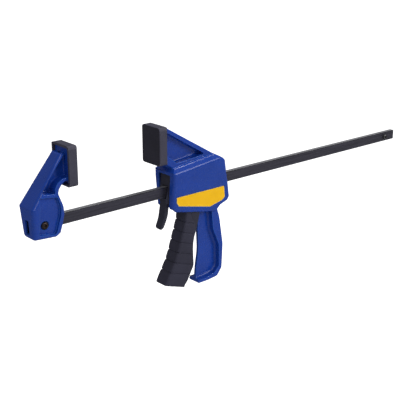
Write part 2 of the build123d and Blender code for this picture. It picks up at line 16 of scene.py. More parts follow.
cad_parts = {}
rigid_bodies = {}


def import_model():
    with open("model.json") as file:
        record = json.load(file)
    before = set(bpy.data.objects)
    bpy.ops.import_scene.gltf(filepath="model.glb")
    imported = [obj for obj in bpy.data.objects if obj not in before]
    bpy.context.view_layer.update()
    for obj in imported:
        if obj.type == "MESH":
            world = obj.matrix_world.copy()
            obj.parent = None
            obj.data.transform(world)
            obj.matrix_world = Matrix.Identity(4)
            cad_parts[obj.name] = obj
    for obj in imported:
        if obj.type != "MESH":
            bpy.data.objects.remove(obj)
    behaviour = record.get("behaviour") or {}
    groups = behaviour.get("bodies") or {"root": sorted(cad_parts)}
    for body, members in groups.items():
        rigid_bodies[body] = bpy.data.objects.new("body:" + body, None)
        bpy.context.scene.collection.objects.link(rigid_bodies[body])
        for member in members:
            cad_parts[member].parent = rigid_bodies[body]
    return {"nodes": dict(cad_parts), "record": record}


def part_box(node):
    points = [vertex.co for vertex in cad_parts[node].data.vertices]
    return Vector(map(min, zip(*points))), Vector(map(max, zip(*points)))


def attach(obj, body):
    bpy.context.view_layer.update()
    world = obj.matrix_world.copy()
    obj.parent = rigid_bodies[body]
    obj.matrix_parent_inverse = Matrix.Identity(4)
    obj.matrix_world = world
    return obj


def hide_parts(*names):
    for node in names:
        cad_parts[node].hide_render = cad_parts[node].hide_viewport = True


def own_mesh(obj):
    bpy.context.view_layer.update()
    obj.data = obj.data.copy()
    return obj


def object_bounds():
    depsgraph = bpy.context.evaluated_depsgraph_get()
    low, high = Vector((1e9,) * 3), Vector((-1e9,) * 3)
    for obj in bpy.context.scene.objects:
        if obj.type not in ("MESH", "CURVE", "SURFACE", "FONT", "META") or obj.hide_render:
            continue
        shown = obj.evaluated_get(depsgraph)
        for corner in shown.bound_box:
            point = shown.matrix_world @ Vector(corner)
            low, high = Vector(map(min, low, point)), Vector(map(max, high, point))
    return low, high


for leftover in list(bpy.data.objects):
    bpy.data.objects.remove(leftover)
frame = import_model()
CAD_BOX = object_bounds()

bl_info = {
    "name": "Bar clamp pieces",
    "version": (1, 0, 0),
    "blender": (4, 5, 0),
    "location": "3D View > Sidebar > Clamp",
    "description": "Builds the visible pieces and the stage of a quick release bar clamp",
    "category": "Object",
}

MM = 0.001
RISE = -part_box("bar")[1].z / MM
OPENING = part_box("moving_jaw_pad")[0].x / MM
BAR_LOW, BAR_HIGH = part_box("bar")
BAR_HEIGHT = (BAR_HIGH.z - BAR_LOW.z) / MM
BAR_HALF = BAR_HIGH.y / MM
BAR_MID = -BAR_HEIGHT / 2
BAR_HEAD = -BAR_LOW.x / MM
BAR_TAIL = BAR_HIGH.x / MM
FAR = 20.0  # past the clamp's sides

# where a piece's own u starts along the bar, and which way it runs
FIXED, MOVING, MODEL = (0, -1), (OPENING, 1), (0, 1)

ARC_STEP = radians(12)
ROUND_SIDES = 48

# soften(): cosine past which an edge carries on a neighbour's line, the change of width
# there, and the share of a neighbour's length that a rounding may take
CARRIES_ON = -0.8
WIDTH_CHANGE = 0.4
ROOM_BY_SHARP = 0.45
ROOM_BY_PLAIN = 0.85
LEAST_WIDTH = 0.02
EVENING_ROUNDS = 8


# ---- drawing ----
def activate(piece):
    bpy.ops.object.select_all(action="DESELECT")
    piece.select_set(True)
    bpy.context.view_layer.objects.active = piece


@contextmanager
def editing(piece, whole=True):
    """Edit mode on a piece, with all of it or its last selection selected."""
    activate(piece)
    bpy.ops.object.mode_set(mode="EDIT")
    if whole:
        bpy.ops.mesh.select_all(action="SELECT")
    yield
    bpy.ops.object.mode_set(mode="OBJECT")


def rounded(corners):
    """Points of a closed outline from (u, z) or (u, z, radius) corners.

    A fourth number is for corner_radius().
    """
    points = []
    for i, corner in enumerate(corners):
        radius = corner[2] if len(corner) > 2 else 0
        if not radius:
            points.append(corner[:2])
            continue
        neighbours = corners[i - 1], corner, corners[(i + 1) % len(corners)]
        last, here, following = (complex(*point[:2]) for point in neighbours)
        back = (last - here) / abs(last - here)
        ahead = (following - here) / abs(following - here)
        middle = (back + ahead) / abs(back + ahead)
        half = atan2(abs(back - ahead), abs(back + ahead))
        centre = here + middle * radius / sin(half)
        first = phase(here + back * radius / tan(half) - centre)
        turn = (pi - 2 * half) * (1 if (back.conjugate() * ahead).imag < 0 else -1)
        steps = max(1, ceil(abs(turn) / ARC_STEP))
        for k in range(steps + 1):
            point = centre + rect(radius, first + turn * k / steps)
            points.append((point.real, point.imag))
    return points


def skin(rings):
    """Closed body through rings of equally many points."""
    count = len(rings[0])
    bpy.ops.mesh.primitive_circle_add(vertices=count, radius=1, fill_type="NGON")
    piece = bpy.context.object
    for k, ring in enumerate(rings):
        if k:
            with editing(piece, whole=False):
                bpy.ops.mesh.extrude_region_move()
        for vertex, point in zip(list(piece.data.vertices)[-count:], ring):
            vertex.co = point
    face_out(piece)
    return piece


def face_out(piece):
    with editing(piece):
        bpy.ops.mesh.normals_make_consistent(inside=False)


def slab(corners, sides):
    """Plate in the side plane, between two y values or as far as one number on both sides."""
    points = rounded(corners)
    sides = sides if isinstance(sides, (list, tuple)) else (-sides, sides)
    return skin([[(u, y, z) for u, z in points] for y in sides])


def board(corners, u0, u1):
    """Plate in the front plane, from (y, z) corners, between u0 and u1."""
    points = rounded(corners)
    return skin([[(u, y, z) for y, z in points] for u in (u0, u1)])


def beam(half, top, bottom, corner, u0, u1):
    """Rectangular beam along the bar, with rounded corners."""
    return board([(half, top, corner), (-half, top, corner), (-half, bottom, corner),
                  (half, bottom, corner)], u0, u1)


def block(low, high):
    """Box between two corners."""
    low, high = Vector(low), Vector(high)
    bpy.ops.mesh.primitive_cube_add(size=1, location=(low + high) / 2, scale=high - low)
    bpy.ops.object.transform_apply()
    return bpy.context.object


def bar_room(u0, u1, gap):
    """The bar with a gap all round it, to cut its way through a piece."""
    return block((u0, -BAR_HALF - gap, -BAR_HEIGHT - gap), (u1, BAR_HALF + gap, gap))


def rod(radius, y0, y1, u, z, sides=ROUND_SIDES):
    """Round rod across the clamp."""
    bpy.ops.mesh.primitive_cylinder_add(vertices=sides, radius=radius, depth=y1 - y0,
                                        location=(u, (y0 + y1) / 2, z), rotation=(pi / 2, 0, 0))
    bpy.ops.object.transform_apply()
    return bpy.context.object


def turned(rings, u, z):
    """Round body on a line across the clamp, from (y, radius) rings; both ends are closed."""
    angles = [2 * pi * k / ROUND_SIDES for k in range(ROUND_SIDES)]
    return skin([[(u + radius * cos(a), y, z + radius * sin(a)) for a in angles]
                 for y, radius in rings])


def swing(piece, degrees, u, z):
    """Turns a piece about a line across the clamp, its lower end towards the pads."""
    line = Matrix.Translation((u, 0, z))
    piece.data.transform(line @ Matrix.Rotation(radians(degrees), 4, "Y") @ line.inverted())
    return piece


def span(side, inner, outer):
    """Two distances from the middle plane as y values of one side, the lower first."""
    return sorted((side * inner, side * outer))


# ---- shaping ----
def half_at(levels, z):
    """Half-width at height z between (z, half-width) levels that go upwards."""
    for (z0, h0), (z1, h1) in zip(levels, levels[1:]):
        if z <= z1 or (z1, h1) == levels[-1]:
            return h0 + (h1 - h0) * (z - z0) / (z1 - z0)


def slice_at(piece, point, normal, drop=False):
    """Cuts the piece's faces along a plane; drop removes and closes what lies beyond it."""
    with editing(piece):
        bpy.ops.mesh.bisect(plane_co=point, plane_no=normal, use_fill=drop, clear_outer=drop,
                            threshold=0.0001)


def slice_levels(piece, levels):
    for z, _ in levels[1:-1]:
        slice_at(piece, (0, 0, z), (0, 0, 1))


def taper(piece, levels):
    """Draws a plate's two sides in to the half-widths of the levels."""
    slice_levels(piece, levels)
    full = max(abs(vertex.co.y) for vertex in piece.data.vertices)
    for vertex in piece.data.vertices:
        vertex.co.y *= half_at(levels, vertex.co.z) / full
    return piece


def modify(piece, kind, **settings):
    """Adds a modifier and applies it."""
    modifier = piece.modifiers.new(kind, kind)
    for name, value in settings.items():
        setattr(modifier, name, value)
    activate(piece)
    bpy.ops.object.modifier_apply(modifier=kind)


def combine(piece, other, operation):
    modify(piece, "BOOLEAN", operation=operation, object=other, solver="MANIFOLD")
    bpy.data.objects.remove(other)
    if not piece.data.polygons:
        raise RuntimeError("nothing is left of the piece")
    return piece


def carve(piece, cutter):
    return combine(piece, cutter, "DIFFERENCE")


def join(piece, other):
    return combine(piece, other, "UNION")


def keep(piece, other):
    return combine(piece, other, "INTERSECT")


def tidy(piece):
    """Merges doubled points and dissolves the needless lines inside flat faces."""
    with editing(piece):
        bpy.ops.mesh.remove_doubles(threshold=0.004)
        bpy.ops.mesh.dissolve_limited(angle_limit=radians(0.4))


def along(normals):
    """Whether an edge between faces with these normals runs along the bar."""
    return all(abs(n.x) < 0.1 for n in normals)


def across(normals):
    """Whether the edge between faces with these normals runs from side to side."""
    return all(abs(n.y) < 0.3 for n in normals)


def corner_radius(mid, outline):
    """Fourth number of the corner that an edge across the clamp stands on."""
    near = 0.3
    for corner in outline:
        if len(corner) > 3 and abs(mid.x - corner[0]) + abs(mid.z - corner[1]) < near:
            return corner[3]
    return 0


def lengthwise(radius):
    """Rounding for the edges along the bar only."""
    return lambda mid, normals: radius if along(normals) else 0


def sharp_edges(piece, sharpest):
    """Edges whose two faces turn by more than the angle, each with its two normals."""
    meeting = {}
    for face in piece.data.polygons:
        for key in face.edge_keys:
            meeting.setdefault(key, []).append(face.normal)
    found = []
    for edge in piece.data.edges:
        normals = meeting.get(edge.key, [])
        if len(normals) == 2 and normals[0].angle(normals[1], 0) > radians(sharpest):
            found.append((edge, normals))
    return found


def bevel_edges(piece, widths, steps, slot=-1):
    """Bevels edges by their own widths, {edge number: width}, with one Bevel modifier."""
    largest = max(widths.values(), default=0)
    if not largest:
        return
    weights = piece.data.attributes.new("bevel_weight_edge", "FLOAT", "EDGE")
    for index, width in widths.items():
        weights.data[index].value = width / largest
    modify(piece, "BEVEL", width=largest, segments=steps, limit_method="WEIGHT",
           use_clamp_overlap=False, miter_outer="MITER_ARC", material=slot)
    weights = piece.data.attributes.get("bevel_weight_edge")
    if weights:
        piece.data.attributes.remove(weights)


def round_by(piece, radius_at, steps=6):
    """Rounds each sharp edge by the radius for its middle and its faces' normals."""
    tidy(piece)
    points = piece.data.vertices
    widths = {}
    for edge, normals in sharp_edges(piece, 15):
        mid = (points[edge.vertices[0]].co + points[edge.vertices[1]].co) / 2
        radius = radius_at(mid, normals)
        if radius:
            widths[edge.index] = radius * tan(normals[0].angle(normals[1]) / 2)
    bevel_edges(piece, widths, steps)
    return piece


def soften(piece, width, steps=3, sharpest=30):
    """Rounds every edge a mould would leave soft, by less where the edges that meet it are short.

    The rounded faces get material slot 1, which settle() fills with the paler edge finish: rubbed
    wear together with a painted highlight.
    """
    tidy(piece)
    points = piece.data.vertices
    sharp = {edge.index for edge, _ in sharp_edges(piece, sharpest)}
    at_point = {}
    for edge in piece.data.edges:
        for number in edge.vertices:
            at_point.setdefault(number, []).append(edge)
    widths, lines = {}, []
    for edge in piece.data.edges:
        if edge.index not in sharp:
            continue
        room = width
        for here, there in (edge.vertices, reversed(edge.vertices)):
            run = points[there].co - points[here].co
            for neighbour in at_point[here]:
                if neighbour == edge:
                    continue
                far = sum(neighbour.vertices) - here
                reach = points[far].co - points[here].co
                lean = run.normalized().dot(reach.normalized())
                if neighbour.index in sharp and lean < CARRIES_ON:
                    bend = max(0, 1 - lean * lean) ** 0.5
                    slack = WIDTH_CHANGE * min(reach.length, run.length) * bend
                    lines.append((edge.index, neighbour.index, slack))
                else:
                    share = ROOM_BY_SHARP if neighbour.index in sharp else ROOM_BY_PLAIN
                    room = min(room, reach.length * share)
        widths[edge.index] = max(room, LEAST_WIDTH)
    for _ in range(EVENING_ROUNDS):
        for one, other, slack in lines:
            widths[one] = min(widths[one], widths[other] + slack)
    for face in piece.data.polygons:
        face.material_index = 0
    while len(piece.data.materials) < 2:
        piece.data.materials.append(None)
    bevel_edges(piece, widths, steps, slot=1)
    return piece


def pocket(piece, corners, floor, floor_round, levels=None, depth=0):
    """Sinks the same recess into both sides of a plate, down to the half-width floor.

    With levels the floor follows the tapered sides instead, at the given depth below them.
    """
    reach = 30.0

    def on_floor(mid, normals):
        return floor_round if abs(mid.y) < floor + 0.01 else 0

    for side in (-1, 1):
        cutter = slab(corners, span(side, floor, reach))
        if levels:
            slice_levels(cutter, levels)
            for vertex in cutter.data.vertices:
                if abs(vertex.co.y) < reach - 1:
                    vertex.co.y = side * (half_at(levels, vertex.co.z) - depth)
        if floor_round:
            round_by(cutter, on_floor, 4)
        carve(piece, cutter)
    return piece


def settle(piece, name, body, slot, nodes, drawn_in=MOVING, smooth=32):
    """Moves a finished piece into the model's frame and gives it its name, finish and body."""
    mesh = piece.data
    piece.name = mesh.name = name
    start, way = drawn_in
    mesh.transform(Matrix.Translation((start * MM, 0, -RISE * MM))
                   @ Matrix.Diagonal((way * MM, MM, MM, 1)))
    if way < 0:
        mesh.flip_normals()
    finish = finish_of(slot)
    # faces on the rounded edges, which get the paler finish: rubbed wear together with a painted
    # highlight
    edge_wear_and_highlight = {face.index for face in mesh.polygons if face.material_index == 1}
    mesh.materials.clear()
    mesh.materials.append(finish)
    paler = bpy.data.materials.get(finish.name + EDGE_WEAR_AND_HIGHLIGHT)
    if edge_wear_and_highlight and paler:
        refinish(piece, paler, lambda face: face.index in edge_wear_and_highlight)
    activate(piece)
    bpy.ops.object.shade_smooth_by_angle(angle=radians(smooth))
    modify(piece, "WEIGHTED_NORMAL", keep_sharp=True, weight=80)
    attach(piece, body)
    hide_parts(*nodes)


def refinish(piece, finish, chosen):
    """Gives the chosen faces a finish of their own."""
    piece.data.materials.append(finish)
    for face in piece.data.polygons:
        if chosen(face):
            face.material_index = len(piece.data.materials) - 1


# ---- finishes ----
# suffix of the paler edge finishes, which carry rubbed wear together with a painted highlight
EDGE_WEAR_AND_HIGHLIGHT = "_edge"
MIX_COLOURS, MIX_RESULT = (6, 7), 2  # a Mix node's colour sockets


class Graph:
    """Short hand for wiring the nodes of a material or a world."""

    def __init__(self, owner):
        owner.use_nodes = True
        self.tree = owner.node_tree
        self.tree.nodes.clear()

    def add(self, kind, **values):
        node = self.tree.nodes.new(kind)
        for key, value in values.items():
            if key in node.inputs:
                node.inputs[key].default_value = value
            else:
                setattr(node, key, value)
        return node

    def wire(self, output, node, socket):
        self.tree.links.new(output, node.inputs[socket])

    def math(self, operation, *values):
        """Output of a Math node; each value is a number or another node's output."""
        node = self.add("ShaderNodeMath", operation=operation)
        for number, value in enumerate(values):
            if isinstance(value, (int, float)):
                node.inputs[number].default_value = value
            else:
                self.wire(value, node, number)
        return node.outputs[0]

    def ramp(self, value, low, high, start=0.35, end=0.65):
        """From low to high while the value goes from start to end."""
        limits = {"From Min": start, "From Max": end, "To Min": low, "To Max": high}
        ramp = self.add("ShaderNodeMapRange", **limits)
        self.wire(value, ramp, "Value")
        return ramp.outputs["Result"]


class Finish(Graph):
    """A material round one Principled shader."""

    def __init__(self, name):
        self.material = bpy.data.materials.get(name) or bpy.data.materials.new(name)
        super().__init__(self.material)
        self.shader = self.add("ShaderNodeBsdfPrincipled")
        self.wire(self.shader.outputs["BSDF"], self.add("ShaderNodeOutputMaterial"), "Surface")
        self.place = self.add("ShaderNodeTexCoord").outputs["Object"]
        self.colour = None

    def noise(self, scale, detail, stretch=None):
        noise = self.add("ShaderNodeTexNoise", Scale=scale, Detail=detail)
        place = self.place
        if stretch:
            mapping = self.add("ShaderNodeMapping", Scale=stretch)
            self.wire(place, mapping, "Vector")
            place = mapping.outputs["Vector"]
        self.wire(place, noise, "Vector")
        return noise.outputs["Fac"]

    def blend(self, amount, first, second):
        """Base colour between two: each is a colour or a node's output."""
        mix = self.add("ShaderNodeMix", data_type="RGBA")
        self.wire(amount, mix, 0)
        for number, colour in zip(MIX_COLOURS, (first, second)):
            if isinstance(colour, tuple):
                mix.inputs[number].default_value = (*colour, 1)
            else:
                self.wire(colour, mix, number)
        self.colour = mix.outputs[MIX_RESULT]
        self.wire(self.colour, self.shader, "Base Color")

    def mottle(self, noise, dark, light):
        self.blend(self.ramp(noise, 0, 1), dark, light)

    def gloss(self, scale, low, high):
        """Roughness that wanders between low and high."""
        self.wire(self.ramp(self.noise(scale, 5), low, high), self.shader, "Roughness")

    def grain(self, noise, strength, distance):
        bump = self.add("ShaderNodeBump", Strength=strength, Distance=distance)
        self.wire(noise, bump, "Height")
        self.wire(bump.outputs["Normal"], self.shader, "Normal")


def linear(colour):
    """Linear colour from a display colour."""
    return tuple(c / 12.92 if c <= 0.04045 else ((c + 0.055) / 1.055) ** 2.4 for c in colour)


def shade(colour, factor):
    return tuple(min(1, c * factor) for c in linear(colour))


def plastic(name, colour, roughness, spread, grain_scale, grain, specular, edge_wear_and_highlight=1.6):
    """Moulded plastic: a slight mottle, a fine spark-eroded grain and uneven gloss.

    Unless the last number is 1, a paler and smoother finish for its rounded edges is made as well:
    rubbed wear together with a painted highlight.
    """
    # the paler edge finish stands for rubbed wear together with a painted highlight
    if edge_wear_and_highlight != 1:
        paler = [share ** (1 / edge_wear_and_highlight ** 0.5) for share in colour]
        plastic(name + EDGE_WEAR_AND_HIGHLIGHT, paler, roughness - 0.04, spread * 2, grain_scale, grain / 2,
                specular, 1)
    nodes = Finish(name)
    nodes.mottle(nodes.noise(60, 4), shade(colour, 1 - spread), shade(colour, 1 + spread))
    nodes.gloss(220, roughness - 0.05, roughness + 0.06)
    nodes.shader.inputs["Specular IOR Level"].default_value = specular
    nodes.grain(nodes.noise(grain_scale, 2), grain, 0.00012)
    return nodes.material


def steel(name, colour, roughness, stretch, metallic):
    """Steel with drawn or ground marks along it."""
    nodes = Finish(name)
    marks = nodes.noise(900, 6, stretch)
    nodes.mottle(marks, shade(colour, 0.72), shade(colour, 1.25))
    nodes.gloss(350, roughness - 0.08, roughness + 0.1)
    nodes.shader.inputs["Metallic"].default_value = metallic
    nodes.grain(marks, 0.18, 0.00008)
    return nodes


# slot: material, colour, roughness, mottle, grain's scale and height, specular level, paleness of
# the edges (rubbed wear and painted highlight)
PLASTICS = {
    "blue_moulding": ("moulded_blue", "jaw_colour", 0.24, 0.05, 2600, 0.06, 0.36),
    "black_moulding": ("moulded_black", "lever_colour", 0.44, 0.08, 2600, 0.18, 0.34),
    "grip_rubber": ("soft_grip", "grip_colour", 0.58, 0.10, 3200, 0.30, 0.34),
    "pad_rubber": ("pad_rubber", "pad_colour", 0.60, 0.08, 3600, 0.30, 0.34),
    "yellow_panel": ("yellow_panel", "panel_colour", 0.36, 0.02, 2600, 0.04, 0.2, 1),
}
# slot and material: colour, roughness, stretch of the marks, metallic
STEELS = {
    "plate_steel": ((0.42, 0.42, 0.43), 0.36, (1, 0.1, 1), 1),
    "spring_steel": ((0.40, 0.40, 0.41), 0.34, (1, 1, 1), 0.9),
    "screw_steel": ((0.25, 0.215, 0.21), 0.42, (1, 1, 1), 0.85),
}


def looks():
    return bpy.context.scene.clamp_looks


def finish_of(slot):
    """The slot's material, made from the colours as they are now."""
    if slot == "bar_steel":
        return bar_finish()
    if slot in STEELS:
        return steel(slot, *STEELS[slot]).material
    name, colour, *rest = PLASTICS[slot]
    return plastic(name, getattr(looks(), colour), *rest)


def bar_finish():
    """Phosphated steel with painted light: a painted highlight lightens its top face, and painted
    shade darkens the corners beside it.
    """
    nodes = steel("bar_steel", looks().bar_colour, 0.42, (0.03, 1, 1), 0.55)
    split = nodes.add("ShaderNodeSeparateXYZ")
    nodes.wire(nodes.place, split, "Vector")
    height, top = split.outputs["Z"], BAR_HIGH.z
    # painted shade: the corners beside the top face are darkened
    edge = nodes.ramp(height, 0, 0.85, top - 0.7 * MM, top - 0.3 * MM)
    nodes.blend(edge, nodes.colour, shade(looks().bar_colour, 0.12))
    # painted highlight: the narrow top face is lightened like a reflection
    face = nodes.ramp(height, 0, 1, top - 0.06 * MM, top - 0.03 * MM)
    nodes.blend(face, nodes.colour, linear((0.56, 0.56, 0.58)))
    return nodes.material


def shaded_pad_face_finish():
    """The clamping face's rubber is duller than the pad's sides, and darker as painted shade."""
    painted_shade_colour = [share * 0.72 for share in looks().pad_colour]
    return plastic("pad_face_rubber_shaded", painted_shade_colour, 0.75, 0.08, 3600, 0.35, 0.2, 1)


def panel_rim_finish():
    """The panel's bevelled rim is paler than its face."""
    return plastic("yellow_panel_rim", (0.97, 0.90, 0.62), 0.4, 0.04, 2600, 0.04, 0.2, 1)


# ---- what a user may change ----
def colour_property(name, description, default):
    return FloatVectorProperty(name=name, description=description, subtype="COLOR",
                               default=default, min=0, max=1)


class ClampLooks(bpy.types.PropertyGroup):
    jaw_colour: colour_property("Jaws", "Colour of the moulded jaws and handle",
                                (0.078, 0.235, 0.60))
    panel_colour: colour_property("Side panel", "Colour of the bare panel on the housing",
                                  (0.98, 0.755, 0.03))
    pad_colour: colour_property("Pads", "Colour of the clamping pads", (0.245, 0.24, 0.30))
    grip_colour: colour_property("Soft grip", "Colour of the trigger's grip", (0.175, 0.172, 0.24))
    lever_colour: colour_property("Trigger and lever", "Colour of the hard black mouldings",
                                  (0.16, 0.16, 0.22))
    bar_colour: colour_property("Bar", "Colour of the steel bar", (0.25, 0.245, 0.29))
    jaw_edge: FloatProperty(
        name="Jaw edge", description="Rounding of the fixed jaw beside its pad, in millimetres",
        default=1.4, min=0.5, max=3)
    pad_corner: FloatProperty(
        name="Pad corner", description="Rounding of the pads' corners, in millimetres",
        default=3.3, min=0.5, max=6)
    brake_coils: FloatProperty(
        name="Brake spring coils", description="Turns of the brake spring",
        default=2.5, min=1, max=8)
    drive_coils: FloatProperty(
        name="Drive spring coils", description="Turns of the drive spring",
        default=4.5, min=1, max=12)
    mould_edge: FloatProperty(
        name="Mould edge", description="Rounding of the mouldings' edges, in millimetres",
        default=0.45, min=0.1, max=1)
    grooves: IntProperty(
        name="Grip grooves", description="Number of grooves across the soft grip",
        default=6, min=1, max=12)


# ---- bar and stop pin ----
SCREW_HOLE = 2.1


def build_bar():
    edge, end_edge = 0.4, 0.8
    bar = block((-BAR_HEAD, -BAR_HALF, -BAR_HEIGHT), (BAR_TAIL, BAR_HALF, 0))
    round_by(bar, lambda mid, normals: edge if along(normals) else end_edge, 4)
    pin_hole, through, sides = 2.4, 5, 40
    low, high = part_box("stop_pin")
    carve(bar, rod(pin_hole, -through, through, (low.x + high.x) / 2 / MM, BAR_MID, sides))
    low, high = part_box("fixed_jaw_screw")
    carve(bar, rod(SCREW_HOLE, -through, through, (low.x + high.x) / 2 / MM, BAR_MID, sides))
    soften(bar, 0.18, 2)
    settle(bar, "steel_bar", "frame", "bar_steel", ["bar"], MODEL)


def build_stop_pin():
    """Rolled spring pin: a split tube with its slot towards the bar's free end."""
    low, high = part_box("stop_pin")
    radius = (high.z - low.z) / 2 / MM
    middle_u = low.x / MM + radius
    wall, half_length, gap, steps = 1, high.y / MM, radians(17), 40
    angles = [gap / 2 + (2 * pi - gap) * k / steps for k in range(steps + 1)]

    def ring(y, outer):
        loop = [(outer, a) for a in angles] + [(radius - wall, a) for a in reversed(angles)]
        return [(middle_u + size * cos(a), y, BAR_MID + size * sin(a)) for size, a in loop]

    chamfer, slope = 0.45, 0.6
    pin = skin([ring(-half_length, radius - chamfer), ring(slope - half_length, radius),
                ring(half_length - slope, radius), ring(half_length, radius - chamfer)])
    soften(pin, 0.1, 2)
    settle(pin, "stop_spring_pin", "frame", "spring_steel", ["stop_pin"], MODEL)


# ---- fixed jaw ----
FIXED_LEVELS = [(-18, 8), (10.5, 11.2), (35, 8.6), (51, 7)]
POST_U = 3.25
PLATE_BACK_U = 6.25
SCREW_U = 29.0
SCREW_AXIS = (SCREW_U, BAR_MID)
SCREW_SEAT = 6.0
WEB = 1.6


def head_plate(jaw):
    """Plate that fills the pad from behind."""
    half_width, half_height = 10, 14.4
    plate = block((POST_U, -half_width, RISE - half_height),
                  (PLATE_BACK_U, half_width, RISE + half_height))
    round_by(plate, lengthwise(1.3), 4)
    return join(jaw, plate)


def build_fixed_jaw():
    outline = [(PLATE_BACK_U - 1, 49.6), (12.3, 49.6, 0, 2.6), (41.55, 10.5, 0, 1.2),
               (40.3, -15.2, 0, 3), (20, -16.5, 0, 2.5), (15.9, -13.9, 0, 1.5), (14.1, -7, 4),
               (12.5, 1.6, 3), (13.3, 8, 6), (17.2, 19.4, 3), (16, 22.6, 3), (13, 26, 3),
               (10.5, 27.6), (PLATE_BACK_U - 1, 27.9)]
    upper = [(PLATE_BACK_U, 51.5), (6.7, 51.5), (20.4, 36.3, 25), (28.3, 26.6, 25),
             (32, 21.3, 1.2), (20.2, 19.7, 0.8), (19.9, 23.6, 3), (17.4, 27.5, 3), (12.9, 30.2, 6),
             (PLATE_BACK_U, 30.9)]
    lower = [(34.2, 19, 1), (18.5, 16.8, 1), (15.9, 7.4, 3), (15.9, 1.2, 3), (17.9, -6.5, 3),
             (19.2, -12.2, 1.2), (20.8, -13.8, 1.2), (35.4, -11.2, 1)]
    back, foot, top, front = 3.1, 2.2, 1.5, looks().jaw_edge

    def radius(mid, normals):
        if across(normals):
            return corner_radius(mid, outline)
        on_head = mid.x > 30 and mid.z < 12
        on_slope = mid.x > 12.8 + (49.6 - mid.z) * 0.70 and mid.z > 9
        if on_head or on_slope:
            return back
        if mid.z < -14:
            return foot
        return top if mid.z > 49 else front

    jaw = round_by(taper(slab(outline, 12), FIXED_LEVELS), radius)
    pocket(jaw, upper, WEB, 1.2)
    pocket(jaw, lower, 7.2, 0, FIXED_LEVELS, 2.7)
    head_plate(jaw)
    for side in (-1, 1):
        carve(jaw, rod(3.7, *span(side, SCREW_SEAT, FAR), *SCREW_AXIS))

    # the bar's seat, its stepped mouth in the jaw's back and its way in at the front
    mouth, end_u = BAR_HEAD - 0.6, 60
    carve(jaw, bar_room(5, end_u, 0.15))
    carve(jaw, beam(5.2, 1.6, -12.4, 1, mouth, 39.4))
    carve(jaw, beam(2.7, 0.5, -11.3, 0.9, mouth, end_u))
    carve(jaw, beam(3.2, 0.8, -10.3, 0.6, 5, 17))

    carve(jaw, rod(SCREW_HOLE, -FAR, FAR, *SCREW_AXIS))
    nut_corner, nut_y = 4.15, 4.0
    carve(jaw, rod(nut_corner, nut_y, SCREW_SEAT + 0.2, *SCREW_AXIS, 6))
    soften(jaw, looks().mould_edge)
    settle(jaw, "fixed_jaw_moulding", "frame", "blue_moulding", ["fixed_jaw"], FIXED)


def build_screw():
    """Pan head screw with a cross recess, its shank threaded to the tip."""
    head, height = 3.2, 1.9
    seat, shank_end = -SCREW_SEAT, 7.8
    crest, root, pitch, plain = 1.98, 1.68, 0.7, 2.0
    top = seat - height
    dome = [(top, 1.2), (top + 0.08, 2), (top + 0.35, 2.7), (top + 0.8, 3.08), (top + 1.2, head),
            (seat - 0.2, head), (seat, head - 0.15)]
    thread = []
    for k in range(int((shank_end - plain - seat) / pitch)):
        y = seat + plain + k * pitch
        thread += [(y, root), (y + pitch * 0.4, crest), (y + pitch * 0.6, crest)]
    shank = [(seat + 0.05, crest), (seat + 1.8, crest)] + thread + [(shank_end, 1.5)]
    screw = turned(dome + shank, *SCREW_AXIS)
    slot, cross, narrowing = 0.45, 1.9, 0.45
    for turn in (20, 110):
        wing = beam(slot, slot, -slot, 0, SCREW_U - cross, SCREW_U + cross)
        for vertex in wing.data.vertices:
            deep = vertex.co.y > 0
            vertex.co.y = seat - 0.5 if deep else top - 0.5
            if deep:
                vertex.co.x = SCREW_U + (vertex.co.x - SCREW_U) * narrowing
            vertex.co.z += BAR_MID
        swing(wing, turn, *SCREW_AXIS)
        face_out(wing)
        carve(screw, wing)
    soften(screw, 0.1, 2, 40)
    settle(screw, "jaw_screw", "frame", "screw_steel", ["fixed_jaw_screw"], FIXED, 40)


def build_nut():
    low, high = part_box("fixed_jaw_nut")
    half, y0, y1 = 3.5, low.y / MM, high.y / MM
    bore, mouth, chamfer = 2.02, 3.4, 0.35
    nut = rod(half / cos(pi / 6), y0, y1, *SCREW_AXIS, 6)
    keep(nut, turned([(y0, half - 0.05), (y0 + chamfer, half + 0.6), (y1 - chamfer, half + 0.6),
                      (y1, half - 0.05)], *SCREW_AXIS))
    carve(nut, turned([(y0 - 1, mouth), (y0 + 0.4, bore), (y1 - 0.4, bore), (y1 + 1, mouth)],
                      *SCREW_AXIS))
    soften(nut, 0.1, 2)
    settle(nut, "jaw_nut", "frame", "screw_steel", ["fixed_jaw_nut"], FIXED, 40)


# ---- pads ----
def build_pad(name, body, node, drawn_in):
    low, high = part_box(node)
    half, depth = high.y / MM, (high.x - low.x) / MM
    bottom, top = low.z / MM + RISE, high.z / MM + RISE
    face_edge, back_edge = 1, 0.8

    def radius(mid, normals):
        if along(normals):
            return looks().pad_corner
        return face_edge if mid.x < 1 else back_edge

    pad = round_by(block((0, -half, bottom), (depth, half, top)), radius, 6)
    rim, wall = 2, 3.2
    hollow = block((wall, rim - half, bottom + rim), (FAR, half - rim, top - rim))
    carve(pad, round_by(hollow, lengthwise(1.3), 6))
    soften(pad, 0.3, 2)
    settle(pad, name, body, "pad_rubber", [node], drawn_in)

    def on_face(face):
        return abs(face.normal.x) > 0.9 and abs(face.center.x - drawn_in[0] * MM) < 0.1 * MM

    # the clamping face gets the duller finish, darkened as painted shade
    refinish(pad, shaded_pad_face_finish(), on_face)


def build_pads():
    build_pad("fixed_pad", "frame", "fixed_jaw_pad", FIXED)
    build_pad("moving_pad", "jaw", "moving_jaw_pad", MOVING)


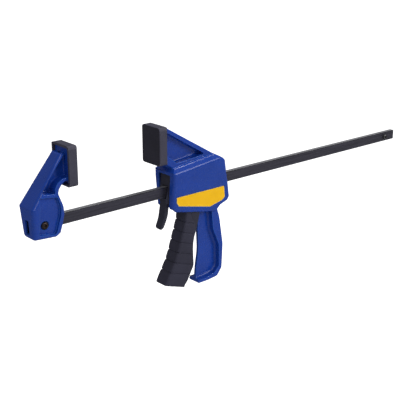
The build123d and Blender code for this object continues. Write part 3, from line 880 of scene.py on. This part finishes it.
# ---- moving jaw ----
BODY_HALF = 13.8
BODY_LEVELS = [(-45, 8.215), (7, BODY_HALF), (30, BODY_HALF)]
CAVITY_LEVELS = [(-60, 8.6), (-28, 8.6), (-20, 8.8), (7, 10.6), (30, 10.6)]
OPENING_FRONT = [(8.2, 11.4), (5.9, -20), (5.9, -50), (-5.9, -50), (-5.9, -20), (-8.2, 11.4)]
PIVOT = (41, 9)
PIVOT_HOLE = 2.05
LEVER_PIVOT = (18.8, 12.6)
LABEL = [(18, -8.3, 0.6), (72.5, -8.5, 0.6), (74.6, -19.3, 1.5), (72, -21.8, 1), (57.7, -25.3, 3),
         (20.8, -16.9, 2), (18.4, -13.4, 2)]
LABEL_DEPTH = 0.45


def housing():
    outline = [(13.7, 13.9, 0, 1), (17.4, 17.5, 0, 1.5), (63, 22.7, 0, 2.5), (73, 16.8, 0, 6),
               (74.8, 5), (77.7, -5), (81.2, -20, 0, 3.2), (79, -24, 0, 2.8), (70.6, -27, 0, 3),
               (66.4, -31.9), (56, -30.4), (18.6, -22.5, 0, 3), (13.9, -18.2, 0, 2)]
    body = taper(slab(outline, 14), BODY_LEVELS)
    shoulder, top_slope = 3.9, -0.1141
    for side in (-1, 1):
        slice_at(body, (17.4, side * (BODY_HALF - shoulder), 17.5), (top_slope, side, 1), True)

    def radius(mid, normals):
        if across(normals):
            return corner_radius(mid, outline)
        on_shoulder = any(0.5 < abs(n.y) < 0.85 for n in normals)
        if mid.x < 17.5:
            return 1.2 if on_shoulder else 2.8
        if mid.z < -20:
            return 2.4
        if mid.x > 72:
            return 2.6
        if mid.x > 63.5:
            return 2.2
        on_top = any(abs(n.y) < 0.1 for n in normals)
        return 2.6 if on_shoulder and on_top else 3.4

    return round_by(body, radius)


def arm():
    outline = [(PLATE_BACK_U - 1, 54), (11, 53.6), (64, 22.1), (64, 15), (20, 14.5),
               (PLATE_BACK_U - 1, 25.5)]
    opening = [(PLATE_BACK_U, 52.4), (53.4, 23.9, 0.8), (22, 20.9, 1.5), (PLATE_BACK_U, 33)]

    def radius(mid, normals):
        if across(normals):
            return 2.0 if mid.x < 12 and mid.z > 50 else 0
        return 1.3 if mid.x < 55 else 0.6

    return pocket(round_by(slab(outline, 8), radius), opening, WEB, 1.4)


def handle():
    outline = [(51.2, -19), (50.5, -48, 30), (51.4, -68, 30), (49.1, -82, 20), (47.9, -95.3),
               (46.8, -95.9, 1.2), (46.7, -98.45, 1.5), (57, -98.4, 12), (69.9, -97, 5),
               (75.4, -89.5, 4), (76.6, -66.3, 20), (72.1, -38.5, 30), (68.5, -28), (71.5, -20)]
    inside = [(40, -19), (40, -95.4), (57, -95, 12), (66.2, -92.8, 4), (71.6, -87, 3),
              (71.5, -66, 8), (64.1, -49, 12), (62.4, -29), (62.4, -12), (50, -12)]
    back, front, nose = 1.2, 0.7, 0.5

    def radius(mid, normals):
        if across(normals) or mid.z > -21:
            return 0
        if mid.z < -94.5:
            return back + nose * min(1, max(0, (62 - mid.x) / 12))
        return back if mid.x > 55 else front

    return pocket(round_by(slab(outline, 7.2), radius, 5), inside, 1.5, 2.2)


def panel_plate(inner, outer, grow=0):
    """Plate along the housing's near side, inner and outer measured from the side's surface."""
    middle_u = sum(corner[0] for corner in LABEL) / len(LABEL)
    middle_z = sum(corner[1] for corner in LABEL) / len(LABEL)
    corners = [(u + copysign(grow, u - middle_u), z + copysign(grow, z - middle_z), radius + grow)
               for u, z, radius in LABEL]
    plate = slab(corners, (-outer, -inner))
    for vertex in plate.data.vertices:
        vertex.co.y -= half_at(BODY_LEVELS, vertex.co.z)
    return plate


def build_moving_jaw():
    jaw = join(housing(), arm())
    cavity = [(15.6, 12.6), (17.8, 14), (57, 17.2), (68, 12.5), (68, -13), (60.5, -19.5),
              (60.5, -50), (15.6, -50)]
    carve(jaw, taper(slab(cavity, 10), CAVITY_LEVELS))
    join(jaw, handle())
    head_plate(jaw)
    carve(jaw, board(OPENING_FRONT, 5, 19))
    join(jaw, block((30, -10.9, -17), (33, 10.9, 14.8)))

    # bosses that hold the trigger's pin, its hole and the slot it snaps in through
    for side in (-1, 1):
        y0, y1 = span(side, 7, 11.2)
        join(jaw, block((36.6, y0, -3), (45.4, y1, 15.5)))
    pin_end = 8.5
    carve(jaw, rod(PIVOT_HOLE, -pin_end, pin_end, *PIVOT))
    carve(jaw, block((39.2, -pin_end, -6), (42.8, pin_end, PIVOT[1])))

    carve(jaw, bar_room(10, 90, 0.25))
    carve(jaw, rod(2.3, -8.15, 8.15, *LEVER_PIVOT))
    carve(jaw, panel_plate(-LABEL_DEPTH, 3, 0.5))
    soften(jaw, looks().mould_edge)
    settle(jaw, "moving_jaw_moulding", "jaw", "blue_moulding", ["moving_jaw"])


def build_side_panel():
    panel = soften(panel_plate(-LABEL_DEPTH, 0.1), 0.25, 2, 40)
    settle(panel, "side_panel", "jaw", "yellow_panel", ["side_label"])
    refinish(panel, panel_rim_finish(), lambda face: abs(face.normal.y) < 0.93)


# ---- trigger ----
GRIP_SLOPE = -0.3316
GRIP_FRONT = [(33, -18), (31.1, -34.8), (28.4, -43.6), (25.5, -52.2), (22.2, -62.1), (18.8, -70.5),
              (14.1, -78.7), (7.7, -89.7)]
GRIP_REAR = [(34.6, -20), (35.6, -26), (38, -31.5), (41, -37.5), (41.8, -43.5), (40.6, -49.5),
             (38.8, -54.5), (37.7, -59.5), (37.5, -68), (38, -74.5), (36.8, -79.5), (34.3, -86),
             (29.6, -94.6)]
STRIP_REAR = [(47.9, -20), (48.2, -30), (44.1, -45.6), (42.1, -51), (40.6, -60), (40.9, -72),
              (41, -78.2), (38.5, -83.2), (33.9, -91.5), (31.4, -94.4), (29.1, -95.4)]
GRIP_HALF = 7.6
STRIP_HALF = 7.5
CORE_HALF = 6.6


def level_of(u, z):
    """Number of the slanting line that a point lies on; the grip's grooves follow these lines."""
    return z - GRIP_SLOPE * u


def smooth_u(curve, level):
    """Where a curve of (u, z) points crosses a slanting line, on a smooth line through them."""
    knots = [(-level_of(u, z), u) for u, z in curve]
    at = min(max(-level, knots[0][0]), knots[-1][0])
    for i in range(len(knots) - 1):
        if at <= knots[i + 1][0]:
            break
    before, after = knots[max(i - 1, 0)], knots[min(i + 2, len(knots) - 1)]
    (s0, u0), (s1, u1) = knots[i], knots[i + 1]
    reach = s1 - s0
    share = (at - s0) / reach
    out = (u1 - before[1]) / (s1 - before[0]) * reach
    into = (after[1] - u0) / (after[0] - s0) * reach
    return ((2 * share**3 - 3 * share**2 + 1) * u0 + (share**3 - 2 * share**2 + share) * out
            + (3 * share**2 - 2 * share**3) * u1 + (share**3 - share**2) * into)


def slanted(outline, level):
    """Lays (u, y) points on a slanting line."""
    return [(u, y, level + GRIP_SLOPE * u) for u, y in outline]


def grip_ring(level, depth):
    """Section of the grip on one slanting line, drawn in by depth on its front and sides."""
    front = smooth_u(GRIP_FRONT, level) + depth
    rear = smooth_u(GRIP_REAR, level)
    half, rounding, steps = GRIP_HALF - depth, 2.2, 6
    outline = [(rear, -half)]
    for side in (-1, 1):
        for k in range(steps + 1):
            turn = pi / 2 * (k / steps if side < 0 else 1 - k / steps)
            outline.append((front + rounding * (1 - sin(turn)),
                            side * (half - rounding * (1 - cos(turn)))))
    outline.append((rear, half))
    return slanted(outline, level)


def inner_core(grow=0):
    """Hard core inside the grip, drawn a little larger to cut the grip's hollow."""
    front = [(u + 1.3 - grow, z) for u, z in GRIP_FRONT[:-1]] + [(9.6 - grow, -88.5)]
    rear = [(u + 0.6, z) for u, z in reversed(GRIP_REAR[:-1])]
    return slab(front + [(27.6, -92)] + rear, CORE_HALF + grow)


def web_slot():
    """Room in the trigger's foot for the handle's web."""
    return slab([(32.8, -83), (30.2, -97), (50, -97), (50, -83)], 2.2)


def build_trigger_grip():
    width, depth, lip, crown = 1.25, 0.55, 0.08, -0.18
    first, last = level_of(31.1, -34.8), level_of(14.1, -78.7)
    gaps = max(1, looks().grooves - 1)
    gap = (first - last) / gaps
    flank = [(0.62, 0), (0.46, lip), (0.2, depth * 0.88)]
    groove = flank + [(0, depth)] + [(-share, inset) for share, inset in reversed(flank)]
    rings = [(level_of(33, -18.5), 0)]
    for k in range(looks().grooves):
        level = first + (last - first) * k / gaps
        rings += [(level + width * share, inset) for share, inset in groove]
        rings += [(level - gap * share, crown) for share in (0.3, 0.5, 0.7)]
    foot = level_of(7.7, -89.7)
    rings = [ring for ring in rings if ring[0] > foot + 1.5]
    rings += [(foot + 1.1, 0), (foot + 0.6, 0.12), (foot + 0.2, 0.45), (foot, 1)]
    grip = skin([grip_ring(level, inset) for level, inset in rings])
    carve(grip, inner_core(0.02))
    carve(grip, web_slot())
    tidy(grip)
    settle(grip, "trigger_soft_grip", "trigger", "grip_rubber", ["trigger_grip"])


def strip_ring(level, inset):
    """Section of the bare strip behind the grip on one slanting line."""
    front = smooth_u(GRIP_REAR, level) + 0.02
    rear = max(smooth_u(STRIP_REAR, level) - inset, front + 0.6)
    half, corner, bulge = STRIP_HALF - inset * 0.6, 1, 0.3
    outline = [(front, -half), (rear - corner, -half),
               (rear - corner * bulge, -half + corner * bulge), (rear, corner - half)]
    outline += [(u, -y) for u, y in reversed(outline)]
    return slanted(outline, level)


def build_trigger_core():
    top, foot, count = level_of(34.6, -20), level_of(28.6, -94.4), 40
    levels = [(top + (foot - top) * k / count, 0) for k in range(count)]
    levels += [(foot + 0.5, 0.2), (foot, 0.8)]
    core = skin([strip_ring(level, inset) for level, inset in levels])
    join(core, inner_core())
    above = [(34.7, -21), (34.7, -14, 4), (36.4, 4), (36.4, 13.6, 4.5), (45.6, 13.6, 4.5),
             (45.6, 2, 6), (46.6, -9.5), (46.6, -16.5), (47.35, -21)]
    join(core, slab(above, CORE_HALF))
    join(core, rod(2, -CORE_HALF, CORE_HALF, 46.1, -12.5))
    channel = 4.3
    inside = [(u + 5, z) for u, z in GRIP_FRONT[1:-1]]
    inside += [(16.5, -86), (30, -90), (60, -90), (60, -17), (38.9, -17), (37.8, -24)]
    fork = [(30, 3.6), (52, 3.6), (52, -18), (39, -18), (39, -16.5, 2), (30, -16.5)]
    for opening in (inside, fork):
        carve(core, slab(opening, channel))
    carve(core, rod(PIVOT_HOLE, -FAR, FAR, *PIVOT))
    carve(core, web_slot())
    soften(core, 0.35, 2)
    settle(core, "trigger_core_moulding", "trigger", "black_moulding", ["trigger_core"])


# ---- release lever ----
def build_lever():
    tip, tail_half, shield_half, web, gap = -38.6, 4.3, 7.8, 1, 0.35
    pivot_u, pivot_z = LEVER_PIVOT
    tail = slab([(15.3, 2), (11.3, -17.6, 20), (9.4, -28.4, 20), (5.9, -36.4, 1.5),
                 (8.2, tip, 1.2), (13.1, -28.8, 20), (16.3, -18.6, 20), (18.9, 2)],
                tail_half)
    angles = [pi * k / 16 for k in range(17)]
    half_turn = [(tail_half * cos(a), tip + tail_half - tail_half * sin(a)) for a in angles]
    keep(tail, board([(-tail_half, 20), (tail_half, 20)] + half_turn, 0, 30))

    def radius(mid, normals):
        if mid.z >= 1:
            return 0
        return 1.1 if any(n.x < -0.3 for n in normals) else 0.5

    round_by(tail, radius, 4)
    front = [(half + (gap if half < 0 else -gap), z) for half, z in OPENING_FRONT]
    front += [(gap - 8.2, 14), (8.2 - gap, 14)]
    shield = slab([(16.3, pivot_z), (13.5, -10), (12.9, -14.6, 1), (16, -14.6),
                   (19, pivot_z)], shield_half)
    join(tail, keep(shield, board(front, 5, 40)))
    join(tail, rod(2.2, -shield_half, shield_half, pivot_u, pivot_z))
    carve(tail, bar_room(5, 30, 1))
    behind = block((pivot_u + web, -20, -40), (pivot_u + web + 8, 20, 30))
    carve(tail, swing(behind, 8.5, pivot_u, pivot_z))
    soften(tail, 0.4, 3)
    settle(tail, "release_lever_moulding", "release", "black_moulding", ["release_lever"])


# ---- springs ----
def build_spring(name, node, coils):
    """Open coil spring of round wire on the bar."""
    low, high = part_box(node)
    wire, wire_sides, turn_steps, keep_share = 1.1, 10, 20, 0.74
    outer = (high.y - low.y) / 2 / MM
    bpy.ops.mesh.primitive_circle_add(vertices=wire_sides, radius=wire / 2,
                                      location=(outer - wire / 2, 0, 0), rotation=(pi / 2, 0, 0))
    coil = bpy.context.object
    bpy.ops.object.transform_apply()
    steps = int(turn_steps * coils)
    modify(coil, "SCREW", axis="Z", angle=2 * pi * coils, steps=steps, render_steps=steps,
           screw_offset=(high.x - low.x) / MM - wire, use_smooth_shade=True)
    with editing(coil):
        bpy.ops.mesh.select_mode(type="EDGE")
        bpy.ops.mesh.fill_holes(sides=0)
    middle_z = (low.z + high.z) / 2 / MM + RISE
    coil.data.transform(Matrix.Translation((low.x / MM + wire / 2, 0, middle_z))
                        @ Matrix.Rotation(pi / 2, 4, "Y"))
    face_out(coil)
    settle(coil, name, "jaw", "spring_steel", [node], MODEL, 50)
    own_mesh(coil)


def build_springs():
    build_spring("brake_coil_spring", "brake_spring", looks().brake_coils)
    build_spring("drive_coil_spring", "drive_spring", looks().drive_coils)


# ---- the CAD nodes that stay ----
def finish_nodes():
    for part in frame["record"]["subparts"]:
        node = frame["nodes"][part["node"]]
        node.data.materials.clear()
        node.data.materials.append(finish_of(part["material_slot"]))


# ---- stage ----
WHITE = (1, 1, 1, 1)
WORLD_LIGHT, GLOSSY_CHANGE = 0.42, -0.18
STAGE_AIM = (0.12, 0, -0.04)
LAMPS = {  # name: place, size, power
    "key": ((0.85, -1.35, 0.65), 0.7, 10),
    "fill": ((-0.75, -0.9, 1), 0.8, 4),
    "top": ((0.67, -0.06, 1.33), 0.3, 9),
}
FLOOR_SIZE, FLOOR_DROP = 12, 0.16
FLOOR_GREY, FLOOR_GLOW = 0.75, 0.8
CARD_START, CARD_END, CARD_NEAR, CARD_FAR = 0, 0.3, 0.35, 0.52


def area_light(name, place, size, power):
    bpy.ops.object.light_add(type="AREA", location=place)
    lamp = bpy.context.object
    lamp.name = name
    lamp.data.shape = "DISK"
    lamp.data.size = size
    lamp.data.energy = power
    aim = Vector(STAGE_AIM) - Vector(place)
    lamp.rotation_euler = aim.to_track_quat("-Z", "Y").to_euler()


def build_world(world):
    """Soft light all round, weaker in reflections; white where the camera looks past the clamp."""
    nodes = Graph(world)
    path = nodes.add("ShaderNodeLightPath").outputs
    seen = nodes.add("ShaderNodeBackground", Color=WHITE, Strength=1)
    light = nodes.add("ShaderNodeBackground", Color=WHITE)
    strength = nodes.math("MULTIPLY_ADD", path["Is Glossy Ray"], GLOSSY_CHANGE, WORLD_LIGHT)
    nodes.wire(strength, light, "Strength")
    looked_at = nodes.math("MAXIMUM", path["Is Camera Ray"], path["Is Transmission Ray"])
    mix = nodes.add("ShaderNodeMixShader")
    for number, output in enumerate((looked_at, light.outputs[0], seen.outputs[0])):
        nodes.wire(output, mix, number)
    nodes.wire(mix.outputs[0], nodes.add("ShaderNodeOutputWorld"), "Surface")


def floor_material():
    """White to the camera; in reflections a grey floor that is a black card behind the clamp."""
    material = bpy.data.materials.new("stage_white")
    nodes = Graph(material)
    path = nodes.add("ShaderNodeLightPath").outputs
    place = nodes.add("ShaderNodeSeparateXYZ")
    nodes.wire(nodes.add("ShaderNodeTexCoord").outputs["Object"], place, 0)
    card = nodes.ramp(place.outputs["Y"], CARD_NEAR, CARD_FAR, CARD_START, CARD_END)
    dimming = nodes.math("MULTIPLY", path["Is Glossy Ray"], card)
    shader = nodes.add("ShaderNodeBsdfDiffuse")
    nodes.wire(nodes.math("SUBTRACT", FLOOR_GREY, dimming), shader, "Color")
    glow = nodes.add("ShaderNodeEmission")
    nodes.wire(nodes.math("MULTIPLY", path["Is Camera Ray"], FLOOR_GLOW), glow, "Strength")
    both = nodes.add("ShaderNodeAddShader")
    nodes.wire(shader.outputs[0], both, 0)
    nodes.wire(glow.outputs[0], both, 1)
    nodes.wire(both.outputs[0], nodes.add("ShaderNodeOutputMaterial"), "Surface")
    return material


def build_stage():
    scene = bpy.context.scene
    scene.view_settings.view_transform = "Standard"
    scene.world = bpy.data.worlds.new("studio")
    build_world(scene.world)

    bpy.ops.mesh.primitive_plane_add(size=FLOOR_SIZE,
                                     location=(0, 0, CAD_BOX[0][2] - FLOOR_DROP))
    floor = bpy.context.object
    floor.name = "floor"
    floor.data.materials.append(floor_material())
    for name, (place, size, power) in LAMPS.items():
        area_light(name, place, size, power)

    camera = bpy.data.objects.new("camera", bpy.data.cameras.new("camera"))
    scene.collection.objects.link(camera)
    camera.data.sensor_width = 36
    camera.data.lens = 80.41
    camera.location = (-0.36113, -0.57753, 0.19353)
    camera.rotation_euler = (radians(71.568), 0, radians(-40.658))
    scene.camera = camera


# ---- operators ----
class PieceOperator(bpy.types.Operator):
    """Calls its builders in order"""
    bl_options = {"REGISTER", "UNDO"}
    builders = ()

    def execute(self, context):
        if context.object and context.object.mode != "OBJECT":
            bpy.ops.object.mode_set(mode="OBJECT")
        for builder in self.builders:
            builder()
        return {"FINISHED"}


class CLAMP_OT_finishes(PieceOperator):
    """Gives the CAD nodes that stay their finishes"""
    bl_idname = "clamp.finishes"
    bl_label = "Finishes of the plain parts"
    builders = (finish_nodes,)


class CLAMP_OT_bar(PieceOperator):
    """Builds the steel bar and its stop pin"""
    bl_idname = "clamp.bar"
    bl_label = "Bar and stop pin"
    builders = (build_bar, build_stop_pin)


class CLAMP_OT_fixed_jaw(PieceOperator):
    """Builds the fixed jaw's moulding"""
    bl_idname = "clamp.fixed_jaw"
    bl_label = "Fixed jaw"
    builders = (build_fixed_jaw,)


class CLAMP_OT_screw(PieceOperator):
    """Builds the screw and nut that hold the fixed jaw"""
    bl_idname = "clamp.screw"
    bl_label = "Jaw screw and nut"
    builders = (build_screw, build_nut)


class CLAMP_OT_pads(PieceOperator):
    """Builds the two clamping pads"""
    bl_idname = "clamp.pads"
    bl_label = "Pads"
    builders = (build_pads,)


class CLAMP_OT_moving_jaw(PieceOperator):
    """Builds the moving jaw's housing, arm and handle"""
    bl_idname = "clamp.moving_jaw"
    bl_label = "Moving jaw"
    builders = (build_moving_jaw, build_side_panel)


class CLAMP_OT_trigger(PieceOperator):
    """Builds the trigger's hard core and its soft grip"""
    bl_idname = "clamp.trigger"
    bl_label = "Trigger"
    builders = (build_trigger_core, build_trigger_grip)


class CLAMP_OT_lever(PieceOperator):
    """Builds the release lever"""
    bl_idname = "clamp.lever"
    bl_label = "Release lever"
    builders = (build_lever,)


class CLAMP_OT_springs(PieceOperator):
    """Builds the two coil springs on the bar"""
    bl_idname = "clamp.springs"
    bl_label = "Springs"
    builders = (build_springs,)


class CLAMP_OT_stage(PieceOperator):
    """Builds the floor, backdrop, lights and camera"""
    bl_idname = "clamp.stage"
    bl_label = "Stage"
    builders = (build_stage,)


class CLAMP_PT_panel(bpy.types.Panel):
    """Lists the clamp's looks and its operators"""
    bl_idname = "CLAMP_PT_panel"
    bl_label = "Bar clamp"
    bl_space_type = "VIEW_3D"
    bl_region_type = "UI"
    bl_category = "Clamp"

    def draw(self, context):
        for name in ClampLooks.__annotations__:
            self.layout.prop(context.scene.clamp_looks, name)
        for operator in OPERATORS:
            self.layout.operator(operator.bl_idname)


OPERATORS = (CLAMP_OT_finishes, CLAMP_OT_bar, CLAMP_OT_fixed_jaw, CLAMP_OT_screw, CLAMP_OT_pads,
             CLAMP_OT_moving_jaw, CLAMP_OT_trigger, CLAMP_OT_lever, CLAMP_OT_springs,
             CLAMP_OT_stage)
CLASSES = (ClampLooks, *OPERATORS, CLAMP_PT_panel)


def register():
    for cls in CLASSES:
        bpy.utils.register_class(cls)
    bpy.types.Scene.clamp_looks = PointerProperty(type=ClampLooks)


def unregister():
    del bpy.types.Scene.clamp_looks
    for cls in reversed(CLASSES):
        bpy.utils.unregister_class(cls)


def main():
    register()
    for operator in OPERATORS:
        group, name = operator.bl_idname.split(".")
        getattr(getattr(bpy.ops, group), name)()


if __name__ == "__main__":
    main()
